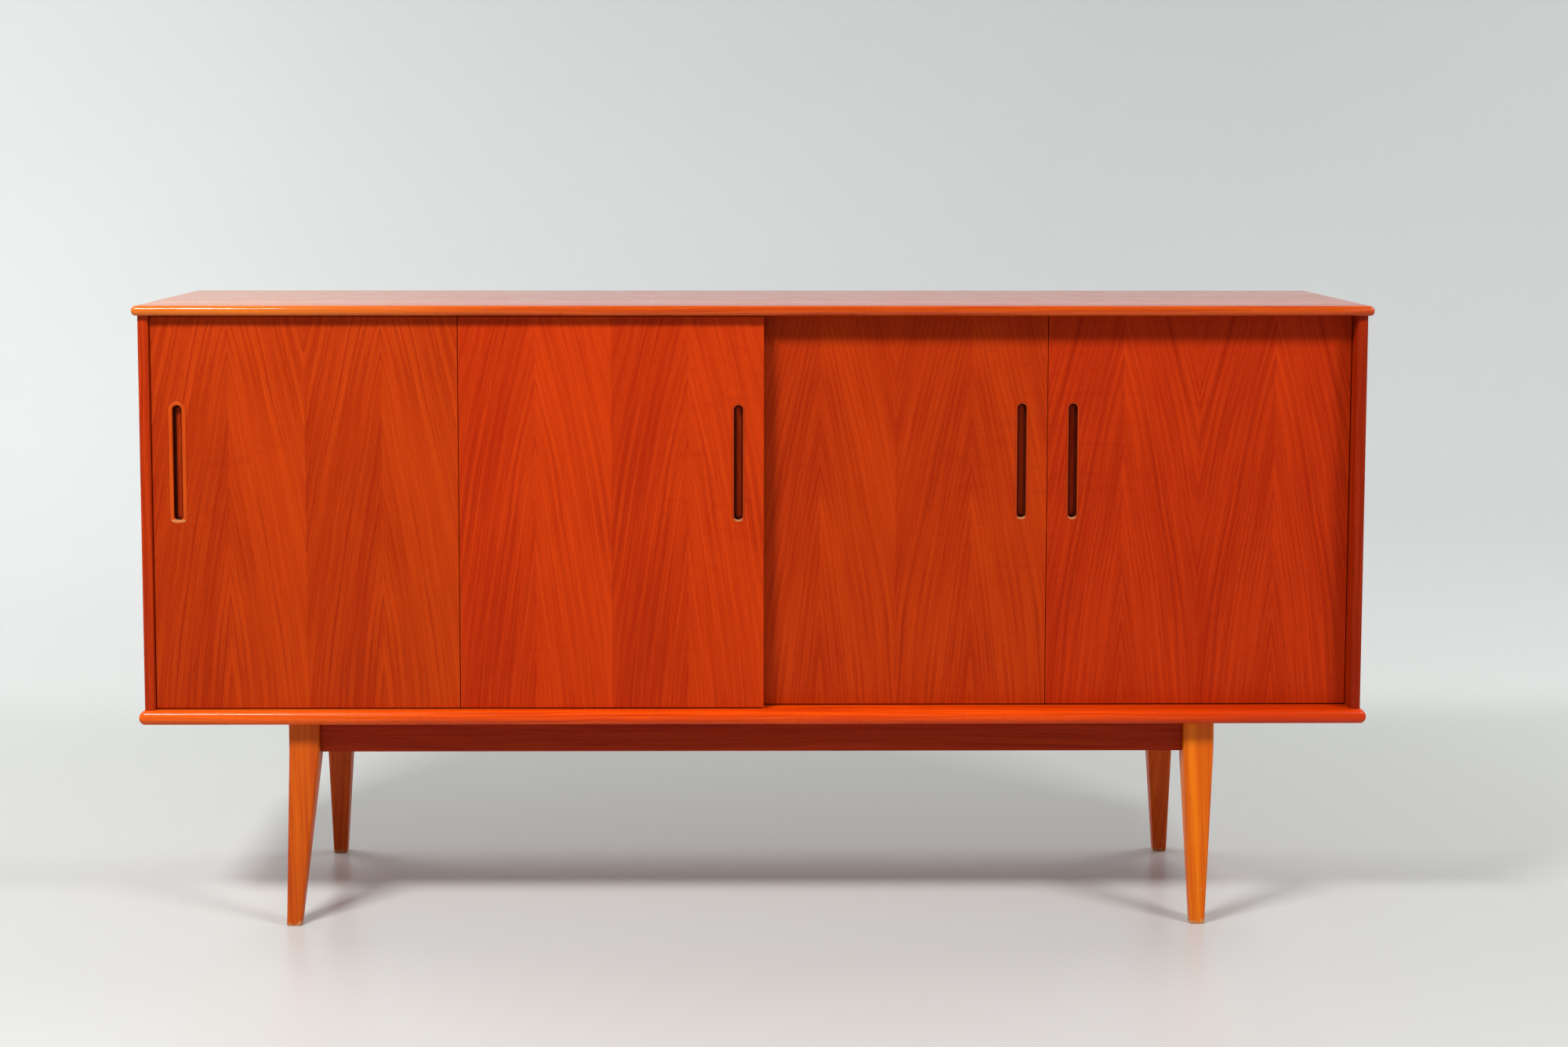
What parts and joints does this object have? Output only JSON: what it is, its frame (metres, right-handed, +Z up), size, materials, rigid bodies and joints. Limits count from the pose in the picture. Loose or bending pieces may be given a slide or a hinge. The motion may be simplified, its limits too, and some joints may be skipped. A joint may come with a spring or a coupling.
{
  "type": "sideboard buffet",
  "caption": "Long low sideboard on tapered splayed legs, with sliding veneered doors with finger slots, inner shelves and rounded top and bottom boards.",
  "frame": {"origin": "on the floor, under the middle of the sideboard's outer box", "axes": "+X to the right along the length as seen from the doors, +Y to the back, +Z up; the doors face -Y"},
  "size_m": [2, 0.45, 1.021],
  "materials": {
    "top_teak": "satin varnish",
    "base_teak": "satin varnish",
    "side_teak": "satin varnish",
    "inner_teak": "matt oil",
    "back_ply": "bare plywood",
    "shelf_teak": "matt oil",
    "pin_brass": "worn",
    "door_teak": "satin varnish",
    "pull_teak": "satin varnish",
    "strip_fibre": "vulcanised fibre",
    "leg_beech": "satin varnish",
    "apron_teak": "satin varnish",
    "block_beech": "bare sawn",
    "screw_steel": "zinc plated"
  },
  "bodies": {
    "cabinet": {"top_board": "top_teak", "bottom_board": "base_teak", "side_left": "side_teak", "side_right": "side_teak", "divider_left": "inner_teak", "divider_centre": "inner_teak", "divider_right": "inner_teak", "back_panel": "back_ply", "shelf_1": "shelf_teak", "shelf_2": "shelf_teak", "shelf_3": "shelf_teak", "shelf_4": "shelf_teak", "shelf_pin_1": "pin_brass", "shelf_pin_2": "pin_brass", "shelf_pin_3": "pin_brass", "shelf_pin_4": "pin_brass", "shelf_pin_5": "pin_brass", "shelf_pin_6": "pin_brass", "shelf_pin_7": "pin_brass", "shelf_pin_8": "pin_brass", "shelf_pin_9": "pin_brass", "shelf_pin_10": "pin_brass", "shelf_pin_11": "pin_brass", "shelf_pin_12": "pin_brass", "shelf_pin_13": "pin_brass", "shelf_pin_14": "pin_brass", "shelf_pin_15": "pin_brass", "shelf_pin_16": "pin_brass", "leg_front_left": "leg_beech", "leg_front_right": "leg_beech", "leg_rear_left": "leg_beech", "leg_rear_right": "leg_beech", "apron_front": "apron_teak", "apron_rear": "apron_teak", "apron_left": "apron_teak", "apron_right": "apron_teak", "corner_block_front_left": "block_beech", "frame_screw_front_left": "screw_steel", "corner_block_front_right": "block_beech", "frame_screw_front_right": "screw_steel", "corner_block_rear_left": "block_beech", "frame_screw_rear_left": "screw_steel", "corner_block_rear_right": "block_beech", "frame_screw_rear_right": "screw_steel"},
    "door_1_body": {"door_1": "door_teak", "door_1_pull": "pull_teak", "door_1_runner": "strip_fibre", "door_1_guide": "strip_fibre"},
    "door_2_body": {"door_2": "door_teak", "door_2_pull": "pull_teak", "door_2_runner": "strip_fibre", "door_2_guide": "strip_fibre"},
    "door_3_body": {"door_3": "door_teak", "door_3_pull": "pull_teak", "door_3_runner": "strip_fibre", "door_3_guide": "strip_fibre"},
    "door_4_body": {"door_4": "door_teak", "door_4_pull": "pull_teak", "door_4_runner": "strip_fibre", "door_4_guide": "strip_fibre"}
  },
  "joints": [
    {"name": "door_1_slide", "type": "slide", "parent": "cabinet", "child": "door_1_body", "axis": [1, 0, 0], "range_m": [0, 0.478]},
    {"name": "door_2_slide", "type": "slide", "parent": "door_1_body", "child": "door_2_body", "axis": [1, 0, 0], "range_m": [0, 0.478]},
    {"name": "door_4_slide", "type": "slide", "parent": "cabinet", "child": "door_4_body", "axis": [-1, 0, 0], "range_m": [0, 0.478]},
    {"name": "door_3_slide", "type": "slide", "parent": "door_4_body", "child": "door_3_body", "axis": [-1, 0, 0], "range_m": [0, 0.478]}
  ]
}
